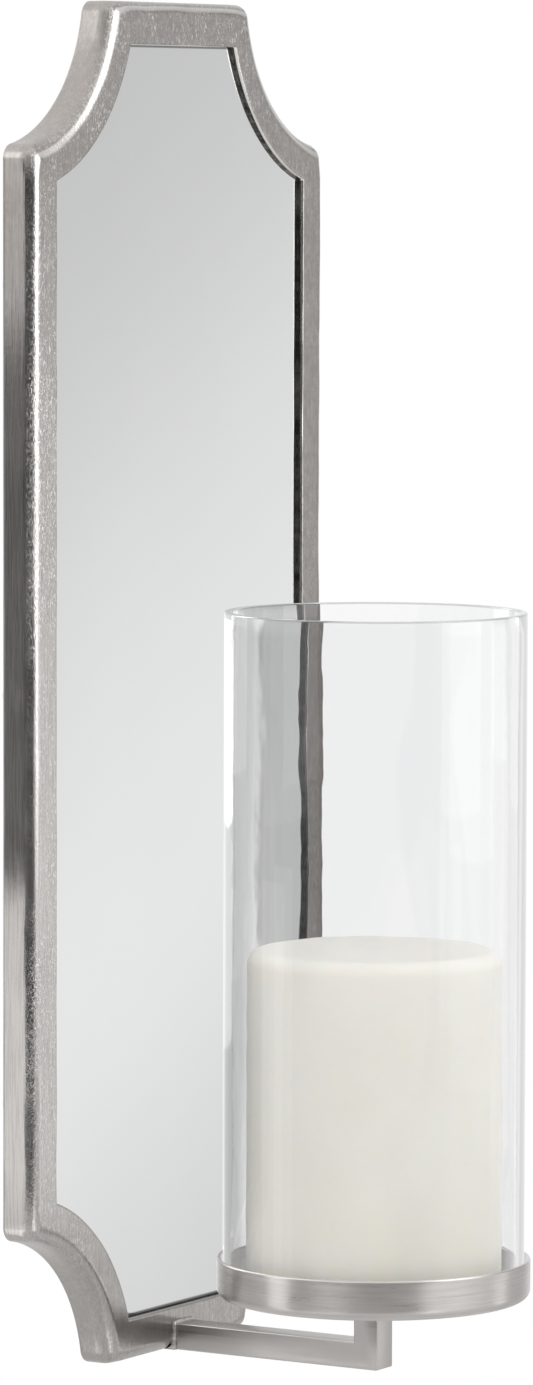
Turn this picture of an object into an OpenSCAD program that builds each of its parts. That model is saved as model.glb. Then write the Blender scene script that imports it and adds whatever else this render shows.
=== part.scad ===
// Mirrored wall sconce: a scoop-cornered cast frame round a mirror, with an arm that carries a
// dished pan, a glass hurricane and a pillar candle.
// Frame: +Z up, +Y into the wall, -Y towards the room. Y = 0 is the wall, and the origin is the
// middle of the keyhole that the sconce hangs by.

/* [Frame] */
// Overall width of the frame
frame_w = 165; // [150:1:200]
// Overall height of the frame
frame_h = 406; // [360:1:460]
// Depth of the frame casting, front to back
frame_d = 11; // [11:0.5:16]
// Width of the moulding, seen from the front
rail_w = 13; // [11:0.5:15]
// Radius of the scooped corners
scoop_r = 49; // [40:0.5:52]
// How far the scoops' middles stand outside the corners of the frame's width and height
scoop_off = 6; // [0:0.5:8]
// Radius of the eight tips beside the scoops
tip_r = 4.5; // [3:0.5:6]
// Rounding of the moulding's outer front edge
outer_round = 3.2; // [2:0.1:4.5]
// Rounding of the moulding's inner front edge
inner_round = 1.1; // [0.8:0.1:1.8]

/* [Mirror and back] */
// Thickness of the lip in front of the mirror
lip_t = 2; // [2:0.1:2.5]
// How far the rebate reaches under the lip
rebate_w = 4; // [3:0.5:5]
// Thickness of the mirror glass
mirror_t = 3; // [2:0.5:3]
// Thickness of the card liner behind the mirror
liner_t = 1; // [0.5:0.5:1]
// Gap all round the mirror and the backing in their rebate
rebate_gap = 0.5; // [0.3:0.1:1]
// Thickness of the keyhole plate, the clips and the felt pads
plate_t = 1.5; // [1.5:0.1:2]

/* [Arm] */
// Width of the arm's square bar, along the wall
bar_w = 9.5; // [8:0.5:12]
// Thickness of the arm's bar
bar_t = 8; // [7:0.5:10]
// Distance from the wall to the middle of the candle
reach = 79.5; // [78:0.5:100]
// Height of the pan's underside above the frame's bottom edge
pan_base_h = 21.5; // [18:0.5:30]

/* [Pan, hurricane and candle] */
// Outer radius of the pan
pan_r = 46.8; // [46.8:0.1:50]
// Height of the pan, underside to rim
pan_h = 12; // [10:0.5:16]
// Outer radius of the glass hurricane
glass_r = 45; // [43:0.1:45]
// Thickness of the hurricane's wall
glass_t = 2.2; // [1.8:0.1:3]
// Height of the hurricane
glass_h = 202; // [150:1:230]
// Radius of the pillar candle
candle_r = 38.1; // [30:0.1:38.1]
// Height of the pillar candle
candle_h = 101.6; // [75:0.1:120]
// How far the wick stands out of the wax: 0 is trimmed flush
wick_show = 0; // [0:0.5:10]

/* [Hidden] */
$fn = 96;

// Depths, from the wall towards the room
back_y = -plate_t;
front_y = back_y - frame_d;
mirror_front_y = front_y + lip_t;
mirror_back_y = mirror_front_y + mirror_t;
board_front_y = mirror_back_y + liner_t;

// Heights: the keyhole is at Z = 0
key_drop = 45;
top_z = key_drop;
bottom_z = top_z - frame_h;
middle_z = (top_z + bottom_z) / 2;
arm_z = bottom_z;
pan_z = bottom_z + pan_base_h;
pan_floor = 2.6;
seat_z = pan_z + pan_floor;

// Number of steps along each rounded tip, scoop and edge of the frame, and along other edges
tip_steps = 5;
scoop_steps = 18;
edge_steps = 4;
round_steps = 7;
sharp_tip = 0.4;

// Keyhole plate
key_r = 4.5;
key_slot_w = 4.6;
key_slot_h = 11;
plate_w = 20;
plate_below = 18;
plate_above = 26;
plate_screw_z = [-12, 22];

// Fasteners: M3 for the clips and the plate, M4 for the pan
m3_r = 1.5;
m3_head_r = 2.9;
m3_len = 5;
m4_r = 2;
m4_head_r = 4;
m4_head_t = 2;
m4_len = 14;
hole_spare = 1;
m3_spare = 0.5;
thread_gap = 0.05;
head_gap = 0.1;
drive_r = 0.9;
drive_depth = 0.8;

// Back rim of the frame, and how far in from its outer edge the clips' screws and the pads are
rail_back_w = rail_w - rebate_w;
fixing_in = rail_back_w * 2 / 3;

// Clips: one each on the top and bottom rails, three on each side rail
clip_len = 15;
clip_w = 7;
clip_side_z = [-120, 0, 120];

// Felt pads, on the back of the side rails
pad_r = 3.5;
pad_side_z = [-147, 147];

// Weld between the arm and the frame
weld_leg = 1.2;

// Pan
pan_wall = 1.2;
pan_edge_r = 3;
rim_round = 0.5;

// Candle
wick_r = 1.2;
wick_gap = 0.05;
candle_edge_r = 4;
candle_foot = 0.8;
tab_r = 9;
tab_t = 0.5;
neck_r = 2;
neck_h = 6;

// ---- outline of the frame ----

// Points along an arc about [x, y]
function arc(x, y, r, from, sweep, steps) =
    [for (k = [0:steps]) let (a = from + sweep * k / steps) [x + r * cos(a), y + r * sin(a)]];

// The top right corner of the outline, drawn in by an inset: tip, scoop, tip. Each tip's middle
// is across and along from the scoop's middle, so that the tip touches the scoop and the edge.
function corner(inset) =
    let (r = max(tip_r - inset, sharp_tip),
         across = scoop_off + inset + r,
         along = sqrt(pow(scoop_r + inset + r, 2) - pow(across, 2)),
         turn = atan2(along, across),
         cx = frame_w / 2 + scoop_off,
         cz = frame_h / 2 + scoop_off,
         scoop = arc(cx, cz, scoop_r + inset, 180 + turn, 90 - 2 * turn, scoop_steps))
    concat(
        arc(cx - across, cz - along, r, 0, turn, tip_steps),
        [for (k = [1:scoop_steps - 1]) scoop[k]],
        arc(cx - along, cz - across, r, 90 - turn, turn, tip_steps));

function backwards(v) = [for (k = [len(v) - 1:-1:0]) v[k]];
function flipped(v, sx, sz) = [for (p = v) [p[0] * sx, p[1] * sz]];

// The whole outline, drawn in by an inset, about the frame's own middle
function outline(inset) =
    let (c = corner(inset))
    concat(c, backwards(flipped(c, -1, 1)), flipped(c, -1, -1), backwards(flipped(c, 1, -1)));

// Rounded outer front edge of the moulding, as [inset, y]
front_edge = arc(outer_round, front_y + outer_round, outer_round, 180, 90, edge_steps);

// Section of the moulding, anticlockwise as [inset, y]
section = concat(
    front_edge,
    arc(rail_w - inner_round, front_y + inner_round, inner_round, 270, 90, edge_steps),
    [[rail_w, mirror_front_y], [rail_back_w, mirror_front_y],
     [rail_back_w, back_y], [0, back_y]]);

// A flat plate with the frame's outline
module plate(inset, y_front, y_back) {
    translate([0, y_back, middle_z])
        rotate([90, 0, 0])
            linear_extrude(y_back - y_front)
                polygon(outline(inset));
}

// ---- fasteners ----

// Countersunk hole or screw, pointing down -Z from its head's flat top at Z = 0
module countersunk(r, head_r, head_t, len) {
    rotate_extrude()
        polygon([[0, 0], [head_r, 0], [r, -head_t], [r, -len], [0, -len]]);
}

// Countersunk screw with a hexagon socket
module screw(r, head_r, head_t, len) {
    difference() {
        countersunk(r, head_r, head_t, len);
        translate([0, 0, -drive_depth])
            cylinder(h = 2 * drive_depth, r = drive_r * r / m3_r, $fn = 6);
    }
}

// Holds its children at a point on the back of the sconce, their +Z towards the wall
module on_back(x, z, y = 0) {
    translate([x, y, z]) rotate([-90, 0, 0]) children();
}

// Where each clip's screw goes in, and the way its tongue points
clip_places = concat(
    [for (z = clip_side_z, side = [-1, 1])
        [side * (frame_w / 2 - fixing_in), middle_z + z, side > 0 ? 180 : 0]],
    [[0, top_z - fixing_in, -90], [0, bottom_z + fixing_in, 90]]);

module at_clips() {
    for (p = clip_places) on_back(p[0], p[1]) rotate([0, 0, -p[2]]) children();
}

// Hole for the screw's thread, blind at its far end
module m3_shank_hole() {
    cylinder(h = 2 * (m3_len + m3_spare), r = m3_r + thread_gap, center = true);
}

// Countersunk hole through a plate that lies against the wall
module m3_hole() {
    countersunk(m3_r + thread_gap, m3_head_r + head_gap, plate_t, m3_len + hole_spare);
}

// ---- the mirror panel ----

module frame() {
    ring = len(outline(0));
    turns = len(section);
    color("silver")
        difference() {
            polyhedron(
                points = [for (s = section, p = outline(s[0])) [p[0], s[1], p[1] + middle_z]],
                faces = [for (k = [0:turns - 1], j = [0:ring - 1], half = [0, 1])
                    let (a = k * ring, b = ((k + 1) % turns) * ring, n = (j + 1) % ring)
                    half == 0 ? [a + j, b + j, b + n] : [a + j, b + n, a + n]]);
            at_clips() m3_shank_hole();
        }
}

module mirror() {
    color("gainsboro")
        plate(rail_back_w + rebate_gap, mirror_front_y, mirror_back_y);
}

module backing_liner() {
    color("tan")
        plate(rail_back_w + rebate_gap, mirror_back_y, board_front_y);
}

module backing_board() {
    relief_r = key_r + 2;
    color("dimgray")
        difference() {
            plate(rail_back_w + rebate_gap, board_front_y, back_y);
            hull()
                for (z = [0, key_slot_h])
                    on_back(0, z, back_y) cylinder(h = 2 * frame_d, r = relief_r, center = true);
            for (z = plate_screw_z) on_back(0, z) m3_shank_hole();
        }
}

module retaining_clips() {
    tongue = clip_len - clip_w;
    color("darkgray")
        at_clips()
            difference() {
                translate([0, 0, -plate_t])
                    linear_extrude(plate_t) {
                        circle(r = clip_w / 2);
                        translate([0, -clip_w / 2]) square([tongue, clip_w]);
                        translate([tongue, 0]) circle(r = clip_w / 2);
                    }
                m3_hole();
            }
}

module clip_screws() {
    color("gray") at_clips() screw(m3_r, m3_head_r, plate_t, m3_len);
}

module keyhole_plate() {
    color("darkgray")
        difference() {
            on_back(0, 0)
                translate([-plate_w / 2, -plate_above, -plate_t])
                    cube([plate_w, plate_above + plate_below, plate_t]);
            on_back(0, 0) cylinder(h = 3 * plate_t, r = key_r, center = true);
            translate([-key_slot_w / 2, -2 * plate_t, 0])
                cube([key_slot_w, 3 * plate_t, key_slot_h]);
            on_back(0, key_slot_h) cylinder(h = 3 * plate_t, r = key_slot_w / 2, center = true);
            for (z = plate_screw_z) on_back(0, z) m3_hole();
        }
}

module keyhole_screws() {
    color("gray")
        for (z = plate_screw_z) on_back(0, z) screw(m3_r, m3_head_r, plate_t, m3_len);
}

module wall_pads() {
    color("saddlebrown")
        for (z = pad_side_z, side = [-1, 1])
            on_back(side * (frame_w / 2 - fixing_in), middle_z + z, back_y)
                cylinder(h = plate_t, r = pad_r);
}

// ---- arm and pan ----

module arm() {
    color("silver")
        difference() {
            union() {
                translate([-bar_w / 2, -reach - bar_t / 2, arm_z])
                    cube([bar_w, reach + bar_t / 2 + front_y, bar_t]);
                translate([-bar_w / 2, -reach - bar_t / 2, arm_z])
                    cube([bar_w, bar_t, pan_base_h]);
            }
            translate([0, -reach, seat_z - m4_len - hole_spare])
                cylinder(h = m4_len + 2 * hole_spare, r = m4_r + thread_gap);
        }
}

// Bead along one side of the bar, against the frame's face
module bead(len) {
    rotate([90, 0, 90])
        linear_extrude(len, center = true)
            polygon([[0, 0], [-weld_leg, 0], [0, weld_leg]]);
}

// Weld that fills the frame's rounded edge below the bar and beads its other three sides
module arm_weld() {
    weld_w = bar_w + 2 * weld_leg;
    color("silver")
        translate([0, 0, arm_z]) {
            translate([0, front_y, bar_t]) bead(weld_w);
            for (side = [-1, 1])
                translate([side * bar_w / 2, front_y, bar_t / 2]) rotate([0, side * 90, 0]) bead(bar_t);
            translate([-weld_w / 2, 0, 0])
                rotate([90, 0, 90])
                    linear_extrude(weld_w)
                        polygon(concat([[front_y, 0]], [for (p = front_edge) [p[1], p[0]]]));
        }
}

// Section of the pan, from the screw hole out along the floor, up the wall and back underneath
function pan_section() =
    let (inside = pan_r - pan_wall, hole = m4_r + thread_gap)
    concat(
        [[hole, 0]],
        arc(pan_r - pan_edge_r, pan_edge_r, pan_edge_r, -90, 90, round_steps),
        [[pan_r, pan_h - rim_round], [pan_r - rim_round / 2, pan_h],
         [inside + rim_round / 2, pan_h], [inside, pan_h - rim_round],
         [inside, pan_floor],
         [m4_head_r + head_gap, pan_floor], [hole, pan_floor - m4_head_t]]);

module candle_pan() {
    color("silver")
        translate([0, -reach, pan_z])
            rotate_extrude() polygon(pan_section());
}

module pan_screw() {
    color("gray")
        translate([0, -reach, seat_z])
            screw(m4_r, m4_head_r, m4_head_t, m4_len);
}

// ---- glass and candle ----

module hurricane_glass() {
    lip = glass_t / 2;
    color("lightcyan", 0.35)
        translate([0, -reach, seat_z])
            rotate_extrude() {
                translate([glass_r - glass_t, lip]) square([glass_t, glass_h - 2 * lip]);
                for (z = [lip, glass_h - lip]) translate([glass_r - lip, z]) circle(r = lip);
            }
}

module candle_wax() {
    bore = wick_r + wick_gap;
    socket = neck_r + wick_gap;
    color("ivory")
        translate([0, -reach, seat_z])
            rotate_extrude()
                polygon(concat(
                    [[bore, neck_h + tab_t], [socket, neck_h + tab_t], [socket, tab_t],
                     [tab_r + head_gap, tab_t], [tab_r + head_gap, 0],
                     [candle_r - candle_foot, 0], [candle_r, candle_foot]],
                    arc(candle_r - candle_edge_r, candle_h - candle_edge_r, candle_edge_r,
                        0, 90, round_steps),
                    [[bore, candle_h]]));
}

module candle_wick() {
    color("beige")
        translate([0, -reach, seat_z + tab_t])
            cylinder(h = candle_h - tab_t + wick_show, r = wick_r);
}

module wick_sustainer() {
    color("silver")
        translate([0, -reach, seat_z])
            difference() {
                union() {
                    cylinder(h = tab_t, r = tab_r);
                    cylinder(h = neck_h, r = neck_r);
                }
                translate([0, 0, tab_t]) cylinder(h = neck_h, r = wick_r + wick_gap);
            }
}

frame();
mirror();
backing_liner();
backing_board();
retaining_clips();
clip_screws();
keyhole_plate();
keyhole_screws();
wall_pads();
arm();
arm_weld();
candle_pan();
pan_screw();
hurricane_glass();
candle_wax();
candle_wick();
wick_sustainer();
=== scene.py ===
"""Looks of the mirrored wall sconce: cast nickel frame, mirror, arm, pan, hurricane and candle.

Metres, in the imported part's own frame: +Z up, +Y into the wall, -Y towards the room.
"""
import math

import bmesh
import bpy
import numpy as np
from mathutils import Matrix, Vector, noise


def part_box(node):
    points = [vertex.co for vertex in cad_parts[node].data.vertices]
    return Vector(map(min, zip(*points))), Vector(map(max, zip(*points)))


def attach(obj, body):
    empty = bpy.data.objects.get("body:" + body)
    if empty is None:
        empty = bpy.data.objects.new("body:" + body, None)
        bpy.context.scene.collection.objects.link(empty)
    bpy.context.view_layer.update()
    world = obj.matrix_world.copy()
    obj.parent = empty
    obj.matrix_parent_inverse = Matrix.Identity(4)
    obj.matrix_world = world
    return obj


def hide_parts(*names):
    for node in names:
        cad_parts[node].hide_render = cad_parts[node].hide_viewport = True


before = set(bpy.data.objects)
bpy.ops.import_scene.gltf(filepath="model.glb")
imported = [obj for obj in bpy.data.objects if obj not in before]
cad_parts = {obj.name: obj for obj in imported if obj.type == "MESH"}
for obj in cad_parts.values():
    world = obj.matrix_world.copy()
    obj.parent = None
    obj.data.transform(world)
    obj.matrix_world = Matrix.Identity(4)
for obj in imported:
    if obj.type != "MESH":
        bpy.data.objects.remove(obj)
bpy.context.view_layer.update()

MM = 0.001

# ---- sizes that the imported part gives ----

FRAME_LOW, FRAME_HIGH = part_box("frame")
FRONT_Y, BACK_Y = FRAME_LOW.y, FRAME_HIGH.y
MIDDLE_Z = (FRAME_LOW.z + FRAME_HIGH.z) / 2
HALF_W = (FRAME_HIGH.x - FRAME_LOW.x) / 2
HALF_H = (FRAME_HIGH.z - FRAME_LOW.z) / 2
MIRROR_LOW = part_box("mirror")[0]
ARM_LOW, ARM_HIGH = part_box("arm")
PAN_LOW, PAN_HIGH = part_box("candle_pan")
GLASS_LOW, GLASS_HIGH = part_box("hurricane_glass")
WAX_LOW, WAX_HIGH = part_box("candle_wax")
AXIS_Y = (PAN_LOW.y + PAN_HIGH.y) / 2

# ---- sizes inside those boxes, as the part's design has them ----

# Each scoop is an arc of SCOOP_R about a point SCOOP_OFF outside the box's corner. Its tips are
# rounded to TIP_R, and never sharper than SHARP_TIP
SCOOP_R = 49 * MM
SCOOP_OFF = 6 * MM
TIP_R = 4.5 * MM
SHARP_TIP = 0.4 * MM
# The moulding's width in front, and behind where the mirror's rebate is cut
RAIL_W = 13 * MM
RAIL_BACK_W = 9 * MM
OUTER_ROUND = 3.2 * MM
INNER_ROUND = 1.1 * MM
BAR_T = 8 * MM
BAR_EDGE = 0.45 * MM
PAN_WALL = 1.2 * MM
PAN_FLOOR = 2.6 * MM
PAN_EDGE_R = 3 * MM
GLASS_T = 2.2 * MM
WAX_EDGE_R = 4 * MM


# ---- mesh helpers ----

def mesh_object(name, points, faces, smooth_deg=35):
    """A mesh object, smooth except across edges sharper than smooth_deg."""
    mesh = bpy.data.meshes.new(name)
    mesh.from_pydata([tuple(p) for p in points], [], faces)
    mesh.validate()
    bm = bmesh.new()
    bm.from_mesh(mesh)
    bmesh.ops.recalc_face_normals(bm, faces=bm.faces)
    bm.to_mesh(mesh)
    bm.free()
    mesh.polygons.foreach_set("use_smooth", [True] * len(mesh.polygons))
    mesh.set_sharp_from_angle(angle=math.radians(smooth_deg))
    obj = bpy.data.objects.new(name, mesh)
    bpy.context.scene.collection.objects.link(obj)
    return obj


def grid_faces(rows, columns, close_rows):
    """Quads over rows x columns of points. Columns close on themselves, and rows may."""
    faces = []
    for i in range(rows if close_rows else rows - 1):
        a, b = i * columns, (i + 1) % rows * columns
        for j in range(columns):
            n = (j + 1) % columns
            faces.append((a + j, b + j, b + n, a + n))
    return faces


def arc(cx, cy, r, start_deg, sweep_deg, steps):
    """Points along an arc, its ends included."""
    angles = np.radians(start_deg + sweep_deg * np.arange(steps + 1) / steps)
    return np.stack([cx + r * np.cos(angles), cy + r * np.sin(angles)], 1)


def lathe(name, profile, segments, wobble=None, smooth_deg=35):
    """Turns a closed (radius, z) profile about the candle's axis. wobble(angle, r, z) moves radii."""
    points = []
    for r, z in profile:
        for k in range(segments):
            a = 2 * math.pi * k / segments
            radius = r + (wobble(a, r, z) if wobble else 0)
            points.append((radius * math.cos(a), AXIS_Y + radius * math.sin(a), z))
    return mesh_object(name, points, grid_faces(len(profile), segments, True), smooth_deg)


def wave(x, y, z, size):
    """Smooth noise from -1 to 1, with features about size across."""
    return noise.noise(Vector((x, y, z)) / size)


# ---- material helpers ----

class Shader:
    """A material with one Principled node, and short ways to add what feeds it."""

    def __init__(self, name, colour, **constants):
        self.material = bpy.data.materials.new(name)
        self.material.use_nodes = True
        self.tree = self.material.node_tree
        self.main = self.tree.nodes["Principled BSDF"]
        self.main.inputs["Base Color"].default_value = (*colour, 1)
        for socket, value in constants.items():
            self.main.inputs[socket.replace("_", " ")].default_value = value
        self.place = self.add("ShaderNodeTexCoord").outputs["Object"]

    def add(self, kind, links=None, **values):
        """A node, with links as {input: source}, and values set on its inputs or on itself."""
        node = self.tree.nodes.new(kind)
        for name, value in values.items():
            socket = node.inputs.get(name.replace("_", " "))
            if socket is None:
                setattr(node, name, value)
            else:
                socket.default_value = value
        for name, source in (links or {}).items():
            self.tree.links.new(source, node.inputs[name])
        return node

    def scaled(self, x, y, z):
        """Object coordinates, stretched along each axis: the numbers are features per metre."""
        node = self.add("ShaderNodeMapping", {"Vector": self.place})
        node.inputs["Scale"].default_value = (x, y, z)
        return node.outputs["Vector"]

    def noise(self, x, y, z, detail=3.0, roughness=0.55, distortion=0.0):
        """Noise from 0 to 1, with x, y and z features per metre along each axis."""
        node = self.add("ShaderNodeTexNoise", {"Vector": self.scaled(x, y, z)}, Scale=1.0,
                        Detail=detail, Roughness=roughness, Distortion=distortion)
        return node.outputs["Fac"]

    def spread(self, value, low, high, to_low, to_high):
        """Maps value from low..high to to_low..to_high, clamped."""
        node = self.add("ShaderNodeMapRange", {"Value": value})
        for socket, number in (("From Min", low), ("From Max", high),
                               ("To Min", to_low), ("To Max", to_high)):
            node.inputs[socket].default_value = number
        return node.outputs["Result"]

    def maths(self, operation, a, b):
        """The result of an operation on two numbers or sockets."""
        node = self.add("ShaderNodeMath", operation=operation)
        for socket, value in zip(node.inputs, (a, b)):
            if isinstance(value, (int, float)):
                socket.default_value = value
            else:
                self.tree.links.new(value, socket)
        return node.outputs[0]

    def mix(self, factor, a, b):
        """Colour from a to b by factor. Each is a colour or a socket."""
        node = self.add("ShaderNodeMix", data_type="RGBA")
        self.tree.links.new(factor, node.inputs[0])
        for socket, value in ((node.inputs[6], a), (node.inputs[7], b)):
            if isinstance(value, tuple):
                socket.default_value = (*value, 1)
            else:
                self.tree.links.new(value, socket)
        return node.outputs[2]

    def bump(self, height, distance, strength=1.0, after=None):
        """A normal roughened by height, on top of the normal after."""
        node = self.add("ShaderNodeBump", {"Height": height}, Distance=distance, Strength=strength)
        if after is not None:
            self.tree.links.new(after, node.inputs["Normal"])
        return node.outputs["Normal"]

    def feed(self, **sockets):
        """Links sources to the Principled node, and gives the finished material."""
        for name, source in sockets.items():
            self.tree.links.new(source, self.main.inputs[name.replace("_", " ")])
        return self.material


# ---- materials ----

def cast_nickel():
    """Satin nickel over a hand-finished casting: hairlines, mottling, dents, and nicks with painted
    glints.

    across and upward run from -0.5 to 0.5 over the frame, and forward is 1 on its front face. The
    colour holds painted light and shade: it is darker towards the top right and at the foot, and
    darker on the front face than on the sides. The nicks, mostly at the top left, are lightened as
    painted glints, and a light band along the front's outer edge is a painted highlight.
    """
    s = Shader("cast nickel", (0.5, 0.48, 0.46), Metallic=1.0)
    where = s.add("ShaderNodeSeparateXYZ", {"Vector": s.place}).outputs
    across = s.maths("DIVIDE", where["X"], 2 * HALF_W)
    upward = s.maths("DIVIDE", s.maths("SUBTRACT", where["Z"], MIDDLE_Z), 2 * HALF_H)
    forward = s.spread(where["Y"], FRONT_Y + 3.4 * MM, FRONT_Y + 1.6 * MM, 0.0, 1.0)
    cloud = s.noise(60, 60, 34, 4)
    hair = s.noise(1700, 1700, 70, 3)
    mottle = s.maths("MULTIPLY", s.noise(520, 520, 340, 3, 0.65),
                     s.spread(forward, 0.0, 1.0, 0.75, 1.0))
    nicks = s.noise(1600, 1600, 700, 2, 0.6, 1.2)
    # Where the nicks go, mostly at the top left of the front: real dents, with painted glints in
    # their colour.
    worn_and_glints = s.spread(s.maths("SUBTRACT", s.maths("MULTIPLY", upward, 0.7), across),
                    -0.1, 0.55, 0.2, 1.0)
    patches = s.maths("MULTIPLY", s.maths("MULTIPLY", worn_and_glints, forward),
                      s.spread(s.noise(24, 24, 14, 2), 0.34, 0.54, 0.15, 1.0))
    # Painted glints: the nicks' colour, lightened.
    bright = s.maths("MULTIPLY", s.spread(nicks, 0.56, 0.62, 0.0, 1.0), patches)
    # Painted light and shade: the colour runs from light at the lower left to dark at the top right.
    slant = s.maths("ADD", s.maths("MULTIPLY", across, 0.7), s.maths("MULTIPLY", upward, 1.15))
    slant = s.maths("ADD", slant, s.spread(cloud, 0.3, 0.7, -0.08, 0.08))
    tone = s.mix(s.spread(slant, -0.3, 0.12, 0.0, 1.0), (0.7, 0.674, 0.65), (0.38, 0.353, 0.334))
    # Painted shade: darker towards the foot.
    tone = s.mix(s.spread(upward, -0.34, -0.42, 0.0, 0.8), tone, (0.4, 0.376, 0.357))
    tone = s.mix(s.spread(mottle, 0.35, 0.7, 0.0, 0.3), tone, (0.68, 0.655, 0.635))
    tone = s.mix(s.spread(hair, 0.38, 0.56, 0.24, 0.0), tone, (0.26, 0.245, 0.235))
    # Painted shade: the front face is darker than the sides.
    tone = s.mix(s.maths("MULTIPLY", forward, 0.15), tone, (0.0, 0.0, 0.0))
    # Painted highlight: a light band on the front's outer rounding, fading towards the foot.
    edge = s.maths("MULTIPLY",
                   s.spread(where["Y"], FRONT_Y + 0.2 * MM, FRONT_Y + 0.4 * MM, 0.0, 0.9),
                   s.spread(where["Y"], FRONT_Y + 0.8 * MM, FRONT_Y + 1.2 * MM, 1.0, 0.0))
    edge = s.maths("MULTIPLY", edge, s.spread(upward, -0.22, -0.05, 0.1, 1.0))
    tone = s.mix(edge, tone, (0.86, 0.83, 0.81))
    rough = s.maths("SUBTRACT", s.spread(cloud, 0.3, 0.7, 0.17, 0.24),
                    s.maths("MULTIPLY", bright, 0.06))
    grain = s.bump(hair, 0.1 * MM, 0.5, s.bump(mottle, 0.06 * MM, 0.4))
    dents = s.bump(s.maths("MULTIPLY", nicks, patches), 0.25 * MM, 0.7, grain)
    # The nicks' painted glints lighten the colour last.
    return s.feed(Base_Color=s.mix(bright, tone, (0.86, 0.85, 0.83)), Roughness=rough, Normal=dents)


def painted_recess_shade():
    """The lip's inner wall and the rebate, painted near black as shade, with a faint mottle."""
    s = Shader("dark recess", (0.05, 0.048, 0.045), Metallic=1.0)
    shade_mottle = s.noise(500, 500, 160, 4, 0.7)
    return s.feed(Base_Color=s.mix(s.spread(shade_mottle, 0.4, 0.75, 0.0, 1.0), (0.03, 0.03, 0.028),
                                   (0.24, 0.24, 0.23)),
                  Roughness=s.spread(shade_mottle, 0.3, 0.7, 0.45, 0.3),
                  Normal=s.bump(shade_mottle, 0.1 * MM, 0.5))


def satin_steel(name, x, y, z):
    """Satin nickel over steel. Its hairlines run along the axis whose number, x, y or z, is small."""
    s = Shader(name, (0.55, 0.525, 0.505), Metallic=1.0)
    hair = s.noise(x, y, z, 3)
    cloud = s.noise(60, 60, 60, 3)
    tone = s.mix(cloud, (0.5, 0.477, 0.46), (0.6, 0.575, 0.555))
    rough = s.spread(hair, 0.3, 0.7, 0.3, 0.42)
    return s.feed(Base_Color=tone, Roughness=rough, Normal=s.bump(hair, 0.03 * MM, 0.3))


def spun_nickel():
    """Turned and brushed pan: fine rings about its axis, and soft bright patches."""
    s = Shader("spun nickel", (0.62, 0.595, 0.57), Metallic=1.0, Anisotropic=0.8,
               Anisotropic_Rotation=0.25)
    rings = s.noise(14, 14, 2600, 4, 0.6)
    brush = s.noise(70, 70, 1500, 3, 0.6)
    patches = s.noise(34, 34, 60, 2)
    tone = s.mix(s.spread(patches, 0.35, 0.65, 0.0, 1.0), (0.56, 0.537, 0.517), (0.7, 0.672, 0.65))
    tone = s.mix(s.spread(rings, 0.4, 0.62, 0.22, 0.0), tone, (0.3, 0.288, 0.278))
    rough = s.spread(brush, 0.3, 0.7, 0.26, 0.38)
    bump = s.bump(brush, 0.02 * MM, 0.3, s.bump(rings, 0.04 * MM, 0.5))
    return s.feed(Base_Color=tone, Roughness=rough, Normal=bump)


def mirror_glass():
    """Silvered glass with a trace of haze, and painted shade: a dark line at its top and bottom, by
    the lip.
    """
    s = Shader("mirror glass", (0.9, 0.91, 0.91), Metallic=1.0)
    haze = s.noise(18, 18, 12, 3)
    height = s.add("ShaderNodeSeparateXYZ", {"Vector": s.place}).outputs["Z"]
    sill = MIDDLE_Z - HALF_H + RAIL_W
    head = MIDDLE_Z + HALF_H - RAIL_W
    # Painted shade: a dark line along the sill and head, where the lip's wall and its reflection
    # darken the glass.
    line = s.maths("ADD", s.spread(height, sill + 1.2 * MM, sill + 0.7 * MM, 0.0, 0.85),
                   s.spread(height, head - 0.7 * MM, head - 0.4 * MM, 0.0, 0.7))
    silver = s.mix(haze, (0.88, 0.885, 0.885), (0.92, 0.925, 0.925))
    return s.feed(Base_Color=s.mix(line, silver, (0.05, 0.05, 0.05)),
                  Roughness=s.spread(haze, 0.3, 0.75, 0.015, 0.045))


def clear_glass():
    """Clear drawn glass with fire-polished rims: wavy along its length, faintly banded, with painted
    shade, a dark line, at its top rim.
    """
    s = Shader("clear glass", (0.99, 0.995, 0.99), Roughness=0.0, IOR=1.45, Specular_IOR_Level=0.25)
    s.main.inputs["Transmission Weight"].default_value = 1.0
    height = s.add("ShaderNodeSeparateXYZ", {"Vector": s.place}).outputs["Z"]
    # Painted shade: a dark line at the top rim.
    rim = s.spread(height, GLASS_HIGH.z - 0.7 * MM, GLASS_HIGH.z - 0.5 * MM, 0.0, 1.0)
    bands = s.spread(s.noise(26, 26, 5, 1, 0.5, 0.5), 0.5, 0.512, 0.0, 1.0)
    ripple = s.bump(s.noise(70, 70, 34, 2), 0.16 * MM, 0.5)
    return s.feed(Base_Color=s.mix(rim, s.mix(bands, (1.0, 1.0, 1.0), (0.972, 0.976, 0.978)),
                                   (0.6, 0.62, 0.64)),
                  Normal=s.bump(s.noise(160, 160, 150, 1), 0.03 * MM, 0.5, ripple))


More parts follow.
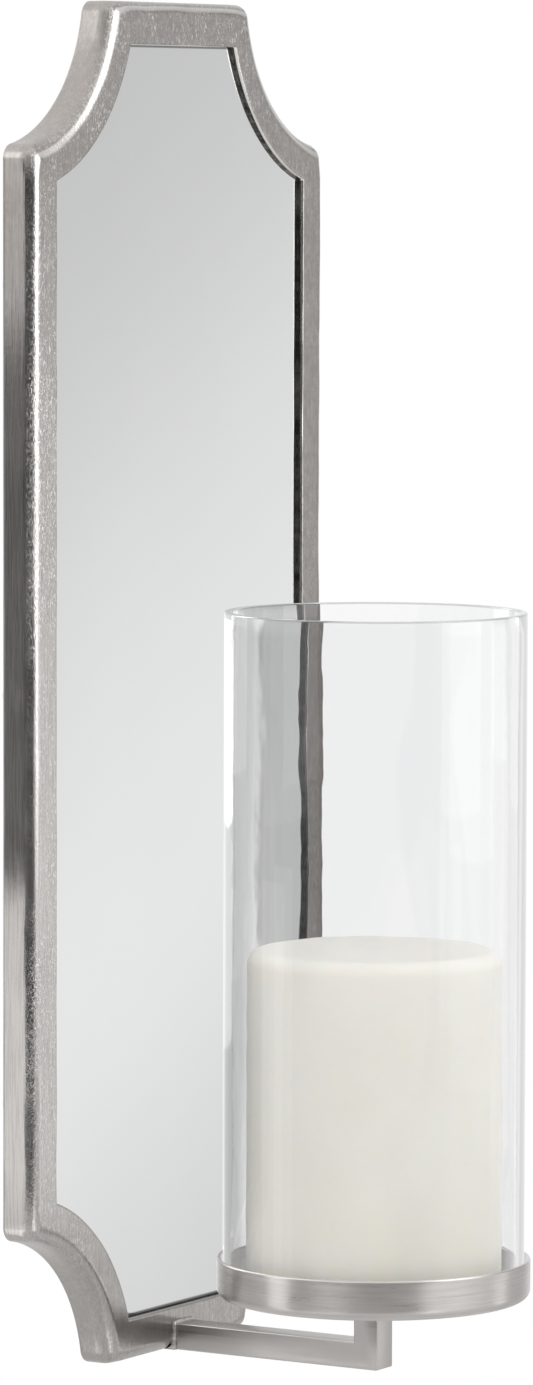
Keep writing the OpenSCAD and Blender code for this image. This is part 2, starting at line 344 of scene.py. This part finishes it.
def ivory_wax():
    """Ivory wax: light passes into it, the foot is a little greener, and the skin is mottled."""
    s = Shader("ivory wax", (0.88, 0.85, 0.74), Roughness=0.5, IOR=1.44, Specular_IOR_Level=0.25)
    s.main.inputs["Subsurface Weight"].default_value = 0.6
    s.main.inputs["Subsurface Radius"].default_value = (1.0, 0.75, 0.45)
    s.main.inputs["Subsurface Scale"].default_value = 6 * MM
    height = s.add("ShaderNodeSeparateXYZ", {"Vector": s.place}).outputs["Z"]
    up = s.spread(height, WAX_LOW.z, WAX_HIGH.z, 0.0, 1.0)
    body = s.mix(up, (0.85, 0.826, 0.74), (0.88, 0.863, 0.805))
    cloud = s.noise(38, 38, 26, 4)
    skin = s.noise(240, 240, 240, 4)
    tone = s.mix(s.spread(cloud, 0.35, 0.7, 0.0, 0.5), body, (0.92, 0.91, 0.87))
    return s.feed(Base_Color=tone, Roughness=s.spread(skin, 0.3, 0.7, 0.45, 0.6),
                  Normal=s.bump(skin, 0.12 * MM, 0.25, s.bump(cloud, 0.5 * MM, 0.35)))


def zinc():
    """Zinc plate: pale, with a faint crystal mottle."""
    s = Shader("zinc plate", (0.66, 0.67, 0.69), Metallic=1.0)
    spangle = s.add("ShaderNodeTexVoronoi", {"Vector": s.scaled(900, 900, 900)}, Scale=1.0)
    tone = s.mix(spangle.outputs["Color"], (0.56, 0.57, 0.6), (0.76, 0.77, 0.79))
    fine = s.noise(700, 700, 700, 3)
    return s.feed(Base_Color=tone, Roughness=s.spread(fine, 0.3, 0.7, 0.28, 0.46),
                  Normal=s.bump(fine, 0.02 * MM, 0.4))


def fibreboard():
    """Black-faced fibreboard, with a pressed fibre texture."""
    s = Shader("fibreboard", (0.05, 0.048, 0.045), Roughness=0.7)
    fibre = s.noise(900, 900, 240, 5, 0.7, 0.8)
    return s.feed(Base_Color=s.mix(fibre, (0.022, 0.021, 0.02), (0.075, 0.07, 0.066)),
                  Roughness=s.spread(fibre, 0.3, 0.7, 0.6, 0.85),
                  Normal=s.bump(fibre, 0.15 * MM, 0.5))


def card():
    """Grey-brown card, with short fibres."""
    s = Shader("liner card", (0.5, 0.4, 0.28), Roughness=0.9)
    fibre = s.noise(700, 700, 700, 4, 0.7)
    return s.feed(Base_Color=s.mix(fibre, (0.38, 0.3, 0.2), (0.55, 0.45, 0.33)),
                  Normal=s.bump(fibre, 0.1 * MM, 0.5))


def felt():
    """Pressed felt: matted fibres with a soft sheen."""
    s = Shader("felt", (0.09, 0.08, 0.07), Roughness=1.0)
    s.main.inputs["Sheen Weight"].default_value = 0.5
    fibre = s.noise(2200, 2200, 2200, 4, 0.75, 1.5)
    return s.feed(Base_Color=s.mix(fibre, (0.05, 0.045, 0.04), (0.16, 0.145, 0.13)),
                  Normal=s.bump(fibre, 0.3 * MM, 0.8))


def cotton():
    """Braided cotton, stiff with wax."""
    s = Shader("waxed cotton", (0.88, 0.865, 0.82), Roughness=0.6)
    plait = s.noise(1500, 1500, 2600, 3)
    return s.feed(Base_Color=s.mix(plait, (0.84, 0.825, 0.78), (0.91, 0.9, 0.86)),
                  Normal=s.bump(plait, 0.2 * MM, 0.7))


# ---- the frame ----

# The outline is worked out at insets this far apart, and read between them
INSET_STEP = 0.25 * MM
# How much rounder the casting's front edge is along its scoops, and how far past them that fades
SCOOP_SOFTENING = 1.7 * MM
SOFT_REACH = 9 * MM
# How many stretches the straight sides and ends are cut into
SIDE_CUTS, END_CUTS = 150, 40
# Rows of the moulding's section that get the painted shade: its lip's inner wall and the rebate
# behind it
RECESS_START, RECESS_END = 4, 1


def outline(inset):
    """The frame's outline drawn in by inset, as points of (x, z - MIDDLE_Z)."""
    r = max(TIP_R - inset, SHARP_TIP)
    across = SCOOP_OFF + inset + r
    along = math.sqrt((SCOOP_R + inset + r) ** 2 - across ** 2)
    turn = math.degrees(math.atan2(along, across))
    cx, cz = HALF_W + SCOOP_OFF, HALF_H + SCOOP_OFF
    scoop = arc(cx, cz, SCOOP_R + inset, 180 + turn, 90 - 2 * turn, 40)
    corner = np.concatenate([
        arc(cx - across, cz - along, r, 0, turn, 10),
        scoop[1:-1],
        arc(cx - along, cz - across, r, 90 - turn, turn, 10)])
    left = (corner * (-1, 1))[::-1]
    corners = [corner, left, corner * (-1, -1), left * (-1, -1)]
    points = []
    for k, here in enumerate(corners):
        points.append(here)
        cuts = SIDE_CUTS if k % 2 else END_CUTS
        along = np.arange(1, cuts)[:, None] / cuts
        points.append(here[-1] + (corners[(k + 1) % 4][0] - here[-1]) * along)
    return np.concatenate(points)


def moulding_section(outer_r, inner_r):
    """Section of the moulding as (inset, y): outside, front, lip, rebate and back rim."""
    back_edge, gap = 0.6 * MM, 0.3 * MM
    outside = np.linspace(BACK_Y - 2 * back_edge, FRONT_Y + outer_r + gap, 8)
    front = np.linspace(outer_r + gap, RAIL_W - inner_r - gap, 9)
    return np.concatenate([
        arc(back_edge, BACK_Y - back_edge, back_edge, 90, 90, 3),
        np.stack([np.zeros(len(outside)), outside], 1),
        arc(outer_r, FRONT_Y + outer_r, outer_r, 180, 90, 12),
        np.stack([front, np.full(len(front), FRONT_Y)], 1),
        arc(RAIL_W - inner_r, FRONT_Y + inner_r, inner_r, 270, 90, 6),
        [(RAIL_W, MIRROR_LOW.y), (RAIL_BACK_W, MIRROR_LOW.y), (RAIL_BACK_W, BACK_Y)]])


def build_frame():
    """The casting: the outline swept with the section, whose rounding wavers as if hand finished."""
    insets = np.arange(0, RAIL_W + INSET_STEP, INSET_STEP)
    rings = np.stack([outline(i) for i in insets])
    count = rings.shape[1]
    sections = []
    for x, z in rings[0]:
        sag = 0.5 + 0.5 * wave(x, 0.3, z, 22 * MM)
        nick = 0.5 + 0.5 * wave(x, 0.7, z, 6 * MM)
        from_scoop = math.hypot(HALF_W + SCOOP_OFF - abs(x),
                                HALF_H + SCOOP_OFF - abs(z)) - SCOOP_R
        softer = min(max(1 - from_scoop / SOFT_REACH, 0), 1) * SCOOP_SOFTENING
        outer_r = OUTER_ROUND + (0.9 * sag + 0.35 * nick) * MM + softer
        inner_r = INNER_ROUND - 0.5 * sag * MM
        sections.append(moulding_section(outer_r, inner_r))
    sections = np.stack(sections, 1)
    place = sections[:, :, 0] / INSET_STEP
    below = np.clip(place.astype(int), 0, len(insets) - 2)
    share = (place - below)[:, :, None]
    column = np.arange(count)[None, :]
    flat = rings[below, column] * (1 - share) + rings[below + 1, column] * share
    points = []
    for row_flat, row_section in zip(flat, sections):
        for (x, z), (inset, y) in zip(row_flat, row_section):
            dip = 0.0
            if y < FRONT_Y + OUTER_ROUND and inset > 0.5 * MM:
                dip = 0.12 * MM * (1 + wave(x, 1.7, z, 14 * MM))
            points.append((x, y + dip, z + MIDDLE_Z))
    piece = mesh_object("cast_frame", points, grid_faces(len(sections), count, True))
    piece.data.materials.append(cast_nickel())
    piece.data.materials.append(painted_recess_shade())
    # The painted shade goes on the lip's inner wall and the rebate.
    recess_rows = range(len(sections) - RECESS_START, len(sections) - RECESS_END)
    for polygon in piece.data.polygons:
        if min(polygon.vertices) // count in recess_rows:
            polygon.material_index = 1
    return piece


# ---- arm, weld and pan ----

def build_arm():
    """Square bar with an elbow, its edges just broken."""
    x0, x1 = ARM_LOW.x, ARM_HIGH.x
    side = [(ARM_HIGH.y, ARM_LOW.z), (ARM_LOW.y, ARM_LOW.z), (ARM_LOW.y, ARM_HIGH.z),
            (ARM_LOW.y + BAR_T, ARM_HIGH.z), (ARM_LOW.y + BAR_T, ARM_LOW.z + BAR_T),
            (ARM_HIGH.y, ARM_LOW.z + BAR_T)]
    points = [(x, y, z) for x in (x0, x1) for y, z in side]
    n = len(side)
    faces = [tuple(range(n)), tuple(range(2 * n - 1, n - 1, -1))]
    faces += [(k, k + n, (k + 1) % n + n, (k + 1) % n) for k in range(n)]
    piece = mesh_object("arm_bar", points, faces)
    bm = bmesh.new()
    bm.from_mesh(piece.data)
    bmesh.ops.bevel(bm, geom=bm.edges[:], offset=BAR_EDGE, segments=3, affect="EDGES",
                    profile=0.5)
    bm.to_mesh(piece.data)
    bm.free()
    piece.data.polygons.foreach_set("use_smooth", [True] * len(piece.data.polygons))
    piece.data.set_sharp_from_angle(angle=math.radians(50))
    piece.data.materials.append(satin_steel("satin bar", 1400, 60, 1400))
    return piece


def build_weld():
    """A lumpy bead round the bar where it meets the frame, and the fill below it."""
    w = (ARM_HIGH.x - ARM_LOW.x) / 2
    top = ARM_LOW.z + BAR_T
    proud, overlap = 0.3 * MM, 0.8 * MM
    cuts, sides = 12, 12
    path, points = [], []
    for a, b in (((-w, ARM_LOW.z), (-w, top)), ((-w, top), (w, top)), ((w, top), (w, ARM_LOW.z))):
        path += [(a[0] + (b[0] - a[0]) * t, a[1] + (b[1] - a[1]) * t)
                 for t in np.arange(cuts) / cuts]
    path.append((w, ARM_LOW.z))
    for k, (x, z) in enumerate(path):
        r = (0.85 + 0.35 * wave(x, z, k * 0.3 * MM, 1.6 * MM)) * MM
        ahead = path[min(k + 1, len(path) - 1)]
        behind = path[max(k - 1, 0)]
        out = Vector((behind[1] - ahead[1], 0, ahead[0] - behind[0])).normalized()
        for j in range(sides):
            a = 2 * math.pi * j / sides
            offset = out * r * math.cos(a) + Vector((0, r * math.sin(a), 0))
            points.append((x + offset.x, FRONT_Y + offset.y, max(z + offset.z, ARM_LOW.z)))
    faces = grid_faces(len(path), sides, False)
    faces += [tuple(range(sides)), tuple(range(len(points) - 1, len(points) - sides - 1, -1))]
    edge = arc(ARM_LOW.z + OUTER_ROUND, FRONT_Y + OUTER_ROUND, OUTER_ROUND, 180, 90, 8)
    fill = [(y, z) for z, y in edge] + [(FRONT_Y - proud, ARM_LOW.z + OUTER_ROUND),
                                        (FRONT_Y - proud, ARM_LOW.z)]
    start, n = len(points), len(fill)
    points += [(x, y, z) for x in (-w - overlap, w + overlap) for y, z in fill]
    faces += [tuple(start + k for k in range(n)), tuple(start + 2 * n - 1 - k for k in range(n))]
    faces += [(start + k, start + k + n, start + (k + 1) % n + n, start + (k + 1) % n)
              for k in range(n)]
    piece = mesh_object("weld_bead", points, faces)
    piece.data.materials.append(satin_steel("weld metal", 500, 500, 500))
    return piece


def build_pan():
    """Dished pan with a soft foot, a rolled rim and a flat floor."""
    r = (PAN_HIGH.x - PAN_LOW.x) / 2
    z0, z1 = PAN_LOW.z, PAN_HIGH.z
    rim = PAN_WALL / 2
    hole, head = 2.05 * MM, 4.1 * MM
    profile = np.concatenate([
        [(hole, z0), (r * 0.5, z0), (r - PAN_EDGE_R - 1 * MM, z0)],
        arc(r - PAN_EDGE_R, z0 + PAN_EDGE_R, PAN_EDGE_R, -90, 90, 12),
        [(r, z0 + PAN_EDGE_R + 0.8 * MM), (r, z1 - rim - 0.6 * MM)],
        arc(r - rim, z1 - rim, rim, 0, 180, 10),
        [(r - PAN_WALL, z1 - rim - 0.6 * MM), (r - PAN_WALL, z0 + PAN_FLOOR + 0.5 * MM),
         (r - PAN_WALL, z0 + PAN_FLOOR), (r * 0.5, z0 + PAN_FLOOR),
         (head, z0 + PAN_FLOOR), (hole, z0 + PAN_FLOOR - 2 * MM)]])
    piece = lathe("spun_pan", profile, 192)
    piece.data.materials.append(spun_nickel())
    return piece


# ---- glass and candle ----

def build_glass():
    """Open tube with fire-polished rims, a little out of true."""
    r = (GLASS_HIGH.x - GLASS_LOW.x) / 2
    lip = 0.45 * MM
    inner_r = r - GLASS_T
    z0, z1 = GLASS_LOW.z, GLASS_HIGH.z
    heights = np.linspace(z0 + lip, z1 - lip, 40)
    profile = np.concatenate([
        np.stack([np.full(len(heights), r), heights], 1),
        arc(r - lip, z1 - lip, lip, 0, 90, 5)[1:],
        arc(inner_r + lip, z1 - lip, lip, 90, 90, 5)[:-1],
        np.stack([np.full(len(heights), inner_r), heights[::-1]], 1),
        arc(inner_r + lip, z0 + lip, lip, 180, 90, 5)[1:],
        arc(r - lip, z0 + lip, lip, 270, 90, 5)[:-1]])

    def wobble(a, radius, z):
        """Inward waves, different and deeper on the inside."""
        outside = radius > r - GLASS_T / 2
        depth = 0.09 * MM if outside else 0.14 * MM
        level = 0 if outside else 5
        wave_in = wave(math.cos(a) * 45 * MM, math.sin(a) * 45 * MM + level, z / 3, 16 * MM)
        return depth * (wave_in - 1) / 2

    piece = lathe("blown_hurricane", profile, 192, wobble)
    piece.data.materials.append(clear_glass())
    piece.visible_shadow = False
    return piece


def build_candle():
    """Pillar with a softly worn shoulder and a top that dips a little round the wick."""
    r = (WAX_HIGH.x - WAX_LOW.x) / 2
    z0, z1 = WAX_LOW.z, WAX_HIGH.z
    foot, bore = 0.8 * MM, 1.21 * MM
    dip = 0.2 * MM
    top = [(rr, z1 - dip * math.sin(math.pi * (rr - bore) / (r - WAX_EDGE_R - bore)))
           for rr in np.linspace(r - WAX_EDGE_R, bore, 16)[1:]]
    profile = np.concatenate([
        [(bore, z0), (r * 0.5, z0), (r - foot, z0), (r, z0 + foot)],
        np.stack([np.full(24, r), np.linspace(z0 + 2 * foot, z1 - WAX_EDGE_R - 0.5 * MM, 24)], 1),
        arc(r - WAX_EDGE_R, z1 - WAX_EDGE_R, WAX_EDGE_R, 0, 90, 10),
        top])

    def wobble(a, radius, z):
        if radius < r - 1.5 * WAX_EDGE_R:
            return 0.0
        return 0.18 * MM * (wave(math.cos(a) * 38 * MM, math.sin(a) * 38 * MM, z, 20 * MM) - 1) / 2

    piece = lathe("wax_pillar", profile, 144, wobble, smooth_deg=60)
    piece.data.materials.append(ivory_wax())
    return piece


def build_pads():
    """Felt discs with a soft, slightly ragged edge."""
    low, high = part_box("wall_pads")
    r, sides = 3.5 * MM, 40
    rings = ((0.94, low.y), (1.0, low.y + 0.3 * MM), (1.0, high.y - 0.4 * MM), (0.92, high.y),
             (0.45, high.y))
    points, faces = [], []
    for x in (low.x + r, high.x - r):
        for z in (low.z + r, high.z - r):
            start = len(points)
            for level, (share, y) in enumerate(rings):
                for k in range(sides):
                    a = 2 * math.pi * k / sides
                    ragged = 1 - 0.03 * (1 + wave(x + math.cos(a), z + math.sin(a), level, 0.35))
                    points.append((x + r * share * ragged * math.cos(a), y,
                                   z + r * share * ragged * math.sin(a)))
            end = len(points)
            faces += [tuple(start + i for i in f) for f in grid_faces(len(rings), sides, False)]
            faces += [tuple(range(start, start + sides)), tuple(range(end - sides, end))]
    piece = mesh_object("felt_pads", points, faces, 60)
    piece.data.materials.append(felt())
    return piece


# ---- stage ----

def build_floor():
    """Plain pale floor, well below the hanging sconce."""
    radius, drop, rings, sides = 1.1, 0.26, 6, 64
    points = [(radius * k / rings * math.cos(2 * math.pi * j / sides),
               radius * k / rings * math.sin(2 * math.pi * j / sides), FRAME_LOW.z - drop)
              for k in range(1, rings + 1) for j in range(sides)]
    faces = grid_faces(rings, sides, False) + [tuple(range(sides))]
    floor = mesh_object("floor", points, faces)
    s = Shader("pale floor", (0.9, 0.9, 0.9), Roughness=0.9)
    floor.data.materials.append(s.material)
    floor.visible_glossy = False


# Where the camera stands, in degrees left of straight ahead and above level
EYE_AZIMUTH, EYE_ELEVATION = 58.83, 4.5


def look_back():
    """The direction from the part to the camera."""
    a, e = math.radians(EYE_AZIMUTH), math.radians(EYE_ELEVATION)
    return Vector((-math.sin(a) * math.cos(e), -math.cos(a) * math.cos(e), math.sin(e)))


# The surroundings, as (azimuth in degrees, brightness): azimuth 0 is -Y and 90 is +X. RING is
# what stands round the part, CEILING is above it, and TABLE is the pale surface below it
RING = [(-180, 0.85), (-150, 0.6), (-133, 0.18), (-121, 0.06), (-105, 0.03), (-80, 0.03),
        (-24, 0.03), (-14, 0.08), (-6, 0.55), (20, 0.6), (40, 0.8), (50, 0.8), (62, 0.6), (84, 0.6),
        (104, 0.95), (136, 0.95), (150, 0.85), (180, 0.85)]
CEILING = [(-180, 1.5), (-150, 1.7), (-130, 1.2), (-112, 0.6), (-96, 1.2), (-84, 1.2), (-72, 0.7),
           (-34, 0.7), (-20, 1.3), (-6, 1.2), (34, 1.1), (50, 0.5), (84, 0.5), (104, 0.95),
           (136, 0.95), (150, 1.1), (180, 1.5)]
TABLE = [(-180, 0.6), (-140, 0.5), (-115, 0.8), (-98, 1.5), (-86, 1.5), (-74, 0.8), (-40, 0.8),
         (-26, 0.8), (-20, 2.2), (-12, 2.2), (-4, 0.8), (30, 0.65), (90, 0.7), (180, 0.7)]
# A colour ramp holds up to 1, so these brightnesses are divided by this and multiplied back
TOP_TONE = 3.0
# The brightness straight up and straight down
OVERHEAD, DOWNWARD = 1.15, 0.75
# Where one gives way to the next, as the sine of the angle above level
RING_TO_CEILING, CEILING_TO_OVERHEAD = (0.05, 0.2), (0.4, 0.85)
RING_TO_TABLE, TABLE_TO_DOWNWARD = (-0.18, -0.26), (-0.35, -0.65)
# What anything matt is lit by
ALL_ROUND = 0.9
# What the mirror and the frame's face see: a card that brightens along a slanting line and fades
# again, as (place along the line, brightness). It is full out to CARD_INNER degrees from its
# middle, and gone by CARD_OUTER
CARD_AZIMUTH, CARD_ELEVATION = EYE_AZIMUTH, -EYE_ELEVATION
CARD_SLANT = 1.1
CARD_TONES = [(-0.06, 0.585), (-0.01, 0.63), (0.03, 0.77), (0.088, 0.915), (0.12, 0.82),
              (0.16, 0.69), (0.2, 0.66)]
CARD_INNER, CARD_OUTER = 14, 24
# The card is brighter on the near side of where the mirror looks, where only glass bends a ray to
CARD_SIDE_START, CARD_SIDE_END, CARD_SIDE_GAIN = 55.8, 54.2, 1.9
# The white backdrop, and how many degrees off the line of sight glass still shows it
WHITE = 1.0
BACKDROP_INNER, BACKDROP_OUTER = 4.5, 13
# How much dimmer reflections look from behind two walls of glass
BEHIND_GLASS = 0.64


def build_world():
    """White to the eye and through glass. Surfaces are lit by, and mirror, softer surroundings."""
    world = bpy.data.worlds.new("studio")
    bpy.context.scene.world = world
    world.use_nodes = True
    tree = world.node_tree
    tree.nodes.clear()

    def add(kind, **settings):
        node = tree.nodes.new(kind)
        for key, value in settings.items():
            setattr(node, key, value)
        return node

    def put(socket, value):
        if isinstance(value, (int, float, tuple)):
            socket.default_value = value
        else:
            tree.links.new(value, socket)

    def maths(operation, a, b=0.0):
        node = add("ShaderNodeMath", operation=operation)
        put(node.inputs[0], a)
        put(node.inputs[1], b)
        return node.outputs[0]

    def dot(vector):
        node = add("ShaderNodeVectorMath", operation="DOT_PRODUCT")
        put(node.inputs[0], direction)
        put(node.inputs[1], vector)
        return node.outputs["Value"]

    def ramp(value, low, high):
        node = add("ShaderNodeMapRange", interpolation_type="SMOOTHSTEP")
        put(node.inputs["Value"], value)
        put(node.inputs["From Min"], low)
        put(node.inputs["From Max"], high)
        return node.outputs["Result"]

    def mix(factor, a, b):
        node = add("ShaderNodeMix", data_type="FLOAT")
        put(node.inputs[0], factor)
        put(node.inputs[2], a)
        put(node.inputs[3], b)
        return node.outputs[0]

    def tones(value, low, high, stops, top):
        """Brightness along value from low to high, by stops of (value, brightness) up to top."""
        node = add("ShaderNodeValToRGB")
        node.color_ramp.interpolation = "B_SPLINE"
        elements = node.color_ramp.elements
        while len(elements) < len(stops):
            elements.new(0.5)
        for element, (place, bright) in zip(elements, stops):
            element.position = (place - low) / (high - low)
            element.color = (bright / top, bright / top, bright / top, 1)
        span = add("ShaderNodeMapRange")
        put(span.inputs["Value"], value)
        put(span.inputs["From Min"], low)
        put(span.inputs["From Max"], high)
        put(node.inputs["Fac"], span.outputs["Result"])
        return maths("MULTIPLY", node.outputs["Color"], top)

    direction = add("ShaderNodeTexCoord").outputs["Generated"]
    x, ahead, up = dot((1.0, 0.0, 0.0)), dot((0.0, -1.0, 0.0)), dot((0.0, 0.0, 1.0))
    azimuth = maths("MULTIPLY", maths("ARCTAN2", x, ahead), math.degrees(1))
    ring, ceiling, table = (tones(azimuth, -180.0, 180.0, stops, TOP_TONE)
                            for stops in (RING, CEILING, TABLE))
    above = mix(ramp(up, *CEILING_TO_OVERHEAD), ceiling, OVERHEAD)
    below = mix(ramp(up, *TABLE_TO_DOWNWARD), table, DOWNWARD)
    room = mix(ramp(up, *RING_TO_CEILING), ring, above)
    room = mix(ramp(up, *RING_TO_TABLE), room, below)

    a, e = math.radians(CARD_AZIMUTH), math.radians(CARD_ELEVATION)
    middle = (math.sin(a) * math.cos(e), -math.cos(a) * math.cos(e), math.sin(e))
    slant = (math.cos(a) * CARD_SLANT, math.sin(a) * CARD_SLANT, -1.0)
    low, high = CARD_TONES[0][0], CARD_TONES[-1][0]
    card = tones(dot(slant), low, high, CARD_TONES, 1.0)
    near_side = ramp(azimuth, CARD_SIDE_START, CARD_SIDE_END)
    card = maths("MULTIPLY", card, mix(near_side, 1.0, CARD_SIDE_GAIN))
    in_card = ramp(dot(middle), math.cos(math.radians(CARD_OUTER)),
                   math.cos(math.radians(CARD_INNER)))
    surroundings = mix(in_card, room, card)

    rays = add("ShaderNodeLightPath").outputs
    behind = maths("GREATER_THAN", rays["Transmission Depth"], 1.5)
    mirrored = maths("MULTIPLY", surroundings, mix(behind, 1.0, BEHIND_GLASS))
    sight = tuple(-number for number in look_back())
    ahead_of_eye = ramp(dot(sight), math.cos(math.radians(BACKDROP_OUTER)),
                        math.cos(math.radians(BACKDROP_INNER)))
    level = mix(rays["Is Glossy Ray"], WHITE, mirrored)
    level = mix(rays["Is Transmission Ray"], level, mix(ahead_of_eye, surroundings, WHITE))
    matt = maths("GREATER_THAN", rays["Diffuse Depth"], 0.5)
    level = mix(maths("MAXIMUM", rays["Is Diffuse Ray"], matt), level, ALL_ROUND)
    background = add("ShaderNodeBackground")
    background.inputs["Color"].default_value = (1, 1, 1, 1)
    put(background.inputs["Strength"], level)
    output = add("ShaderNodeOutputWorld")
    tree.links.new(background.outputs[0], output.inputs["Surface"])


# Lamps as (name, place, target, width, height, watts, what they light). The three "edge" lamps
# make the rail's white highlight, which fades at its foot, and the two "side" lamps brighten the
# frame's left side at its foot and towards its top
SOFTBOXES = [("key", (-0.9, -1.1, 2.0), (0, 0, -0.2), 1.0, 1.0, 8, "matt")]
SOFTBOXES += [(name, (0.055, -0.6, z), (-0.08, -0.012, z), 0.33, height, watts, "shiny")
              for name, z, height, watts in (("edge", 0.14, 0.6, 1.05),
                                             ("edge_fade", -0.2, 0.08, 0.08),
                                             ("edge_foot", -0.28, 0.08, 0.025))]
SOFTBOXES += [
    ("side_low", (-0.168, 0.0445, -0.3375), (-0.08, 0, -0.3375), 0.06, 0.225, 0.029, "shiny"),
    ("side_high", (-0.34, 0.148, 0.12), (-0.08, 0, 0.12), 0.14, 0.35, 0.13, "shiny")]


def add_softbox(name, place, target, width, height, watts, seen_by):
    """A rectangular area lamp at place, turned to target, that lights only matt or shiny things."""
    light = bpy.data.lights.new(name, "AREA")
    light.shape = "RECTANGLE"
    light.size, light.size_y, light.energy = width, height, watts
    lamp = bpy.data.objects.new(name, light)
    lamp.location = place
    lamp.visible_diffuse = seen_by == "matt"
    lamp.visible_glossy = seen_by == "shiny"
    lamp.visible_transmission = False
    lamp.rotation_euler = (Vector(target) - Vector(place)).to_track_quat("-Z", "Y").to_euler()
    bpy.context.scene.collection.objects.link(lamp)


def build_camera():
    """Long lens, left of the sconce and a little above it. It aims beside the frame's middle."""
    distance, across, up_shift, roll = 2.113, 0.0344, -0.00426, math.radians(0.16)
    lens_mm, view_end = 181.9, 50
    back = look_back()
    level_right = Vector((0, 0, 1)).cross(back).normalized()
    level_up = back.cross(level_right)
    right = level_right * math.cos(roll) + level_up * math.sin(roll)
    up = level_up * math.cos(roll) - level_right * math.sin(roll)
    data = bpy.data.cameras.new("camera")
    data.lens = lens_mm
    data.clip_end = view_end
    camera = bpy.data.objects.new("camera", data)
    target = Vector((0, BACK_Y, MIDDLE_Z))
    place = target + back * distance + right * across + up * up_shift
    turn = Matrix((right, up, back)).transposed().to_4x4()
    camera.matrix_world = Matrix.Translation(place) @ turn
    bpy.context.scene.collection.objects.link(camera)
    bpy.context.scene.camera = camera


# ---- putting it together ----

PIECES = [
    (build_frame, "frame", "root", "cast_nickel"),
    (build_arm, "arm", "root", "satin_steel"),
    (build_weld, "arm_weld", "root", "weld_metal"),
    (build_pan, "candle_pan", "root", "satin_steel"),
    (build_pads, "wall_pads", "root", "felt"),
    (build_glass, "hurricane_glass", "hurricane", "clear_glass"),
    (build_candle, "candle_wax", "candle", "ivory_wax"),
]
for build, node, body, slot in PIECES:
    piece = build()
    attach(piece, body)
    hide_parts(node)

# The other nodes keep their CAD meshes, and only get materials
zinc_plate = zinc()
CARRIED = {
    "mirror": mirror_glass(), "backing_liner": card(), "backing_board": fibreboard(),
    "retaining_clips": zinc_plate, "clip_screws": zinc_plate, "keyhole_plate": zinc_plate,
    "keyhole_screws": zinc_plate, "pan_screw": zinc_plate, "wick_sustainer": zinc_plate,
    "candle_wick": cotton(),
}
for node, material in CARRIED.items():
    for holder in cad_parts[node].material_slots:
        holder.material = material

# The photo's mirror shows none of what stands in front of it
for name in ("blown_hurricane", "wax_pillar", "spun_pan"):
    bpy.data.objects[name].visible_glossy = False
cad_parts["candle_wick"].visible_glossy = False

bpy.context.scene.view_settings.view_transform = "Standard"
build_floor()
build_world()
for softbox in SOFTBOXES:
    add_softbox(*softbox)
build_camera()
